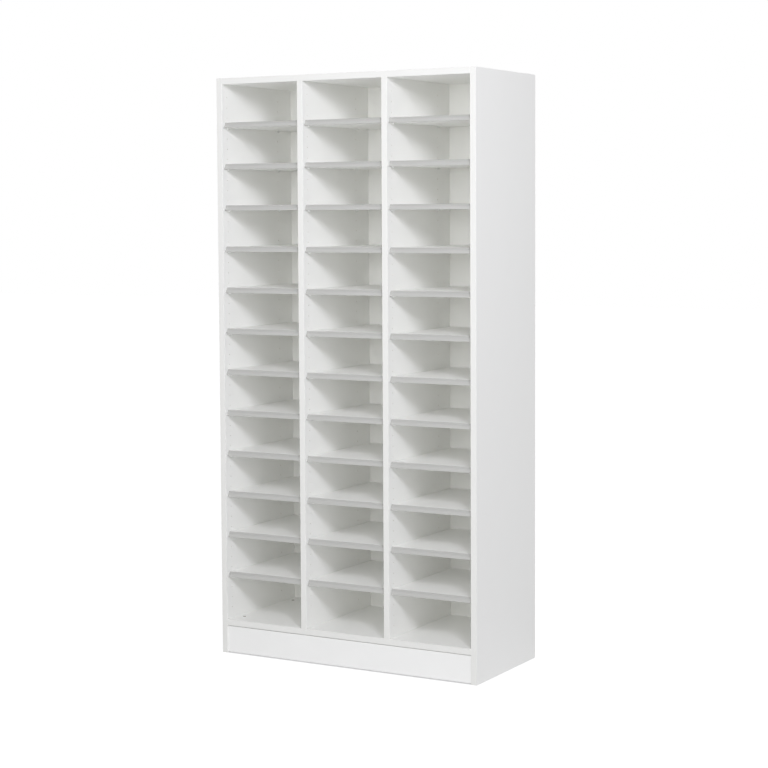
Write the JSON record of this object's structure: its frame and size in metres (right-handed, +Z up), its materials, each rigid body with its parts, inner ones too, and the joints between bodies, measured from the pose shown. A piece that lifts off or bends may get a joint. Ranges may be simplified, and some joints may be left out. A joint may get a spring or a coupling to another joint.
{
  "type": "pigeonhole mail sorter",
  "caption": "Tall free-standing open-front cabinet of white board for sorting mail, with columns of loose shelves on pins, label strips, plinths and levelling feet.",
  "frame": {"origin": "middle of the cabinet's base, on the floor", "axes": "+Z up, +Y towards the back panel, +X to the right as seen from the open front"},
  "size_m": [0.9, 0.4, 1.8],
  "materials": {
    "white_board": "white melamine-faced chipboard with matching edge band, satin",
    "back_board": "thin white lacquered fibreboard, satin",
    "shelf_board": "white melamine-faced chipboard, satin",
    "label_strip": "grey extruded plastic label strip, satin",
    "zinc_steel": "bright zinc-plated steel",
    "black_plastic": "black moulded plastic"
  },
  "bodies": {
    "cabinet": {"side_panel_left": "white_board", "side_panel_right": "white_board", "divider_left_middle": "white_board", "divider_middle_right": "white_board", "top_panel": "white_board", "bottom_panel": "white_board", "plinth_front": "white_board", "plinth_rear": "white_board", "back_panel": "back_board", "foot_bracket_front_left": "black_plastic", "foot_bracket_front_right": "black_plastic", "foot_bracket_rear_left": "black_plastic", "foot_bracket_rear_right": "black_plastic"},
    "shelf_left_01": {"shelf_left_01": "shelf_board"},
    "shelf_left_02": {"shelf_left_02": "shelf_board"},
    "shelf_left_03": {"shelf_left_03": "shelf_board"},
    "shelf_left_04": {"shelf_left_04": "shelf_board"},
    "shelf_left_05": {"shelf_left_05": "shelf_board"},
    "shelf_left_06": {"shelf_left_06": "shelf_board"},
    "shelf_left_07": {"shelf_left_07": "shelf_board"},
    "shelf_left_08": {"shelf_left_08": "shelf_board"},
    "shelf_left_09": {"shelf_left_09": "shelf_board"},
    "shelf_left_10": {"shelf_left_10": "shelf_board"},
    "shelf_left_11": {"shelf_left_11": "shelf_board"},
    "shelf_left_12": {"shelf_left_12": "shelf_board"},
    "shelf_middle_01": {"shelf_middle_01": "shelf_board"},
    "shelf_middle_02": {"shelf_middle_02": "shelf_board"},
    "shelf_middle_03": {"shelf_middle_03": "shelf_board"},
    "shelf_middle_04": {"shelf_middle_04": "shelf_board"},
    "shelf_middle_05": {"shelf_middle_05": "shelf_board"},
    "shelf_middle_06": {"shelf_middle_06": "shelf_board"},
    "shelf_middle_07": {"shelf_middle_07": "shelf_board"},
    "shelf_middle_08": {"shelf_middle_08": "shelf_board"},
    "shelf_middle_09": {"shelf_middle_09": "shelf_board"},
    "shelf_middle_10": {"shelf_middle_10": "shelf_board"},
    "shelf_middle_11": {"shelf_middle_11": "shelf_board"},
    "shelf_middle_12": {"shelf_middle_12": "shelf_board"},
    "shelf_right_01": {"shelf_right_01": "shelf_board"},
    "shelf_right_02": {"shelf_right_02": "shelf_board"},
    "shelf_right_03": {"shelf_right_03": "shelf_board"},
    "shelf_right_04": {"shelf_right_04": "shelf_board"},
    "shelf_right_05": {"shelf_right_05": "shelf_board"},
    "shelf_right_06": {"shelf_right_06": "shelf_board"},
    "shelf_right_07": {"shelf_right_07": "shelf_board"},
    "shelf_right_08": {"shelf_right_08": "shelf_board"},
    "shelf_right_09": {"shelf_right_09": "shelf_board"},
    "shelf_right_10": {"shelf_right_10": "shelf_board"},
    "shelf_right_11": {"shelf_right_11": "shelf_board"},
    "shelf_right_12": {"shelf_right_12": "shelf_board"},
    "foot_front_left": {"foot_front_left": "zinc_steel"},
    "foot_front_right": {"foot_front_right": "zinc_steel"},
    "foot_rear_left": {"foot_rear_left": "zinc_steel"},
    "foot_rear_right": {"foot_rear_right": "zinc_steel"}
  },
  "joints": [
    {"name": "shelf_left_01_slide", "type": "slide", "parent": "cabinet", "child": "shelf_left_01", "axis": [0, -1, 0], "range_m": [0, 0.4]},
    {"name": "shelf_left_02_slide", "type": "slide", "parent": "cabinet", "child": "shelf_left_02", "axis": [0, -1, 0], "range_m": [0, 0.4]},
    {"name": "shelf_left_03_slide", "type": "slide", "parent": "cabinet", "child": "shelf_left_03", "axis": [0, -1, 0], "range_m": [0, 0.4]},
    {"name": "shelf_left_04_slide", "type": "slide", "parent": "cabinet", "child": "shelf_left_04", "axis": [0, -1, 0], "range_m": [0, 0.4]},
    {"name": "shelf_left_05_slide", "type": "slide", "parent": "cabinet", "child": "shelf_left_05", "axis": [0, -1, 0], "range_m": [0, 0.4]},
    {"name": "shelf_left_06_slide", "type": "slide", "parent": "cabinet", "child": "shelf_left_06", "axis": [0, -1, 0], "range_m": [0, 0.4]},
    {"name": "shelf_left_07_slide", "type": "slide", "parent": "cabinet", "child": "shelf_left_07", "axis": [0, -1, 0], "range_m": [0, 0.4]},
    {"name": "shelf_left_08_slide", "type": "slide", "parent": "cabinet", "child": "shelf_left_08", "axis": [0, -1, 0], "range_m": [0, 0.4]},
    {"name": "shelf_left_09_slide", "type": "slide", "parent": "cabinet", "child": "shelf_left_09", "axis": [0, -1, 0], "range_m": [0, 0.4]},
    {"name": "shelf_left_10_slide", "type": "slide", "parent": "cabinet", "child": "shelf_left_10", "axis": [0, -1, 0], "range_m": [0, 0.4]},
    {"name": "shelf_left_11_slide", "type": "slide", "parent": "cabinet", "child": "shelf_left_11", "axis": [0, -1, 0], "range_m": [0, 0.4]},
    {"name": "shelf_left_12_slide", "type": "slide", "parent": "cabinet", "child": "shelf_left_12", "axis": [0, -1, 0], "range_m": [0, 0.4]},
    {"name": "shelf_middle_01_slide", "type": "slide", "parent": "cabinet", "child": "shelf_middle_01", "axis": [0, -1, 0], "range_m": [0, 0.4]},
    {"name": "shelf_middle_02_slide", "type": "slide", "parent": "cabinet", "child": "shelf_middle_02", "axis": [0, -1, 0], "range_m": [0, 0.4]},
    {"name": "shelf_middle_03_slide", "type": "slide", "parent": "cabinet", "child": "shelf_middle_03", "axis": [0, -1, 0], "range_m": [0, 0.4]},
    {"name": "shelf_middle_04_slide", "type": "slide", "parent": "cabinet", "child": "shelf_middle_04", "axis": [0, -1, 0], "range_m": [0, 0.4]},
    {"name": "shelf_middle_05_slide", "type": "slide", "parent": "cabinet", "child": "shelf_middle_05", "axis": [0, -1, 0], "range_m": [0, 0.4]},
    {"name": "shelf_middle_06_slide", "type": "slide", "parent": "cabinet", "child": "shelf_middle_06", "axis": [0, -1, 0], "range_m": [0, 0.4]},
    {"name": "shelf_middle_07_slide", "type": "slide", "parent": "cabinet", "child": "shelf_middle_07", "axis": [0, -1, 0], "range_m": [0, 0.4]},
    {"name": "shelf_middle_08_slide", "type": "slide", "parent": "cabinet", "child": "shelf_middle_08", "axis": [0, -1, 0], "range_m": [0, 0.4]},
    {"name": "shelf_middle_09_slide", "type": "slide", "parent": "cabinet", "child": "shelf_middle_09", "axis": [0, -1, 0], "range_m": [0, 0.4]},
    {"name": "shelf_middle_10_slide", "type": "slide", "parent": "cabinet", "child": "shelf_middle_10", "axis": [0, -1, 0], "range_m": [0, 0.4]},
    {"name": "shelf_middle_11_slide", "type": "slide", "parent": "cabinet", "child": "shelf_middle_11", "axis": [0, -1, 0], "range_m": [0, 0.4]},
    {"name": "shelf_middle_12_slide", "type": "slide", "parent": "cabinet", "child": "shelf_middle_12", "axis": [0, -1, 0], "range_m": [0, 0.4]},
    {"name": "shelf_right_01_slide", "type": "slide", "parent": "cabinet", "child": "shelf_right_01", "axis": [0, -1, 0], "range_m": [0, 0.4]},
    {"name": "shelf_right_02_slide", "type": "slide", "parent": "cabinet", "child": "shelf_right_02", "axis": [0, -1, 0], "range_m": [0, 0.4]},
    {"name": "shelf_right_03_slide", "type": "slide", "parent": "cabinet", "child": "shelf_right_03", "axis": [0, -1, 0], "range_m": [0, 0.4]},
    {"name": "shelf_right_04_slide", "type": "slide", "parent": "cabinet", "child": "shelf_right_04", "axis": [0, -1, 0], "range_m": [0, 0.4]},
    {"name": "shelf_right_05_slide", "type": "slide", "parent": "cabinet", "child": "shelf_right_05", "axis": [0, -1, 0], "range_m": [0, 0.4]},
    {"name": "shelf_right_06_slide", "type": "slide", "parent": "cabinet", "child": "shelf_right_06", "axis": [0, -1, 0], "range_m": [0, 0.4]},
    {"name": "shelf_right_07_slide", "type": "slide", "parent": "cabinet", "child": "shelf_right_07", "axis": [0, -1, 0], "range_m": [0, 0.4]},
    {"name": "shelf_right_08_slide", "type": "slide", "parent": "cabinet", "child": "shelf_right_08", "axis": [0, -1, 0], "range_m": [0, 0.4]},
    {"name": "shelf_right_09_slide", "type": "slide", "parent": "cabinet", "child": "shelf_right_09", "axis": [0, -1, 0], "range_m": [0, 0.4]},
    {"name": "shelf_right_10_slide", "type": "slide", "parent": "cabinet", "child": "shelf_right_10", "axis": [0, -1, 0], "range_m": [0, 0.4]},
    {"name": "shelf_right_11_slide", "type": "slide", "parent": "cabinet", "child": "shelf_right_11", "axis": [0, -1, 0], "range_m": [0, 0.4]},
    {"name": "shelf_right_12_slide", "type": "slide", "parent": "cabinet", "child": "shelf_right_12", "axis": [0, -1, 0], "range_m": [0, 0.4]},
    {"name": "foot_front_left_screw", "type": "slide", "parent": "cabinet", "child": "foot_front_left", "axis": [0, 0, -1], "range_m": [0, 0.015]},
    {"name": "foot_front_right_screw", "type": "slide", "parent": "cabinet", "child": "foot_front_right", "axis": [0, 0, -1], "range_m": [0, 0.015]},
    {"name": "foot_rear_left_screw", "type": "slide", "parent": "cabinet", "child": "foot_rear_left", "axis": [0, 0, -1], "range_m": [0, 0.015]},
    {"name": "foot_rear_right_screw", "type": "slide", "parent": "cabinet", "child": "foot_rear_right", "axis": [0, 0, -1], "range_m": [0, 0.015]}
  ]
}
